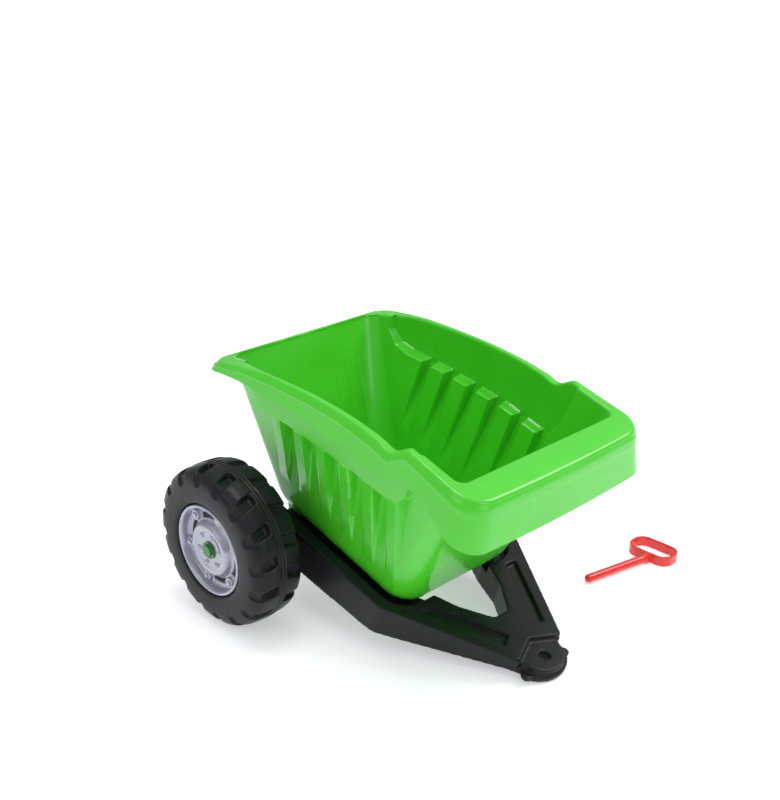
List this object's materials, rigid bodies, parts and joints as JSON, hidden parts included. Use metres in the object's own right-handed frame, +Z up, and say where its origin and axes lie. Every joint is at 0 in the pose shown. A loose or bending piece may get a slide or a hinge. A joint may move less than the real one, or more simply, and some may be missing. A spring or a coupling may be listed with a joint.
{
  "type": "toy tractor tipping trailer",
  "caption": "Two-wheeled plastic toy trailer with a tipping tub hinged on its axle, a triangular hitch frame and a loose hitch pin.",
  "frame": {"origin": "on the ground, below the middle of the wheel axis, with the trailer standing uncoupled on its two wheels and its hitch", "axes": "+X forward to the hitch, +Y to the trailer's left, +Z up"},
  "size_m": [0.4815, 0.5707, 0.3201],
  "materials": {
    "tub_green": "glossy moulded",
    "frame_black": "satin blow-moulded",
    "wheel_black": "satin blow-moulded",
    "hub_silver": "silver-pigmented, semi-gloss",
    "cap_green": "glossy",
    "red": "glossy",
    "steel": "bright drawn",
    "bush_black": "matt"
  },
  "bodies": {
    "chassis": {"chassis": "frame_black", "axle_rod": "steel", "axle_spacer_left": "red", "axle_nut_left": "steel", "axle_spacer_right": "red", "axle_nut_right": "steel"},
    "tub": {"tub": "tub_green"},
    "pin": {"hitch_pin": "red"},
    "wheel_left": {"wheel_left": "wheel_black", "hubcap_left": "hub_silver", "hub_bolts_left": "hub_silver", "centre_cap_left": "cap_green", "bush_inner_left": "bush_black", "bush_outer_left": "bush_black"},
    "wheel_right": {"wheel_right": "wheel_black", "hubcap_right": "hub_silver", "hub_bolts_right": "hub_silver", "centre_cap_right": "cap_green", "bush_inner_right": "bush_black", "bush_outer_right": "bush_black"}
  },
  "joints": [
    {"name": "tub_tip", "type": "hinge", "parent": "chassis", "child": "tub", "pos_m": [0, 0, 0.105], "axis": [0, -1, 0], "range_deg": [0, 80]},
    {"name": "wheel_spin_left", "type": "hinge", "parent": "chassis", "child": "wheel_left", "pos_m": [0, 0.19, 0.105], "axis": [0, 1, 0], "continuous": true},
    {"name": "wheel_spin_right", "type": "hinge", "parent": "chassis", "child": "wheel_right", "pos_m": [0, -0.19, 0.105], "axis": [0, 1, 0], "continuous": true},
    {"name": "pin_lift", "type": "slide", "parent": "chassis", "child": "pin", "axis": [0, 0, 1], "range_m": [0, 0.12]}
  ]
}
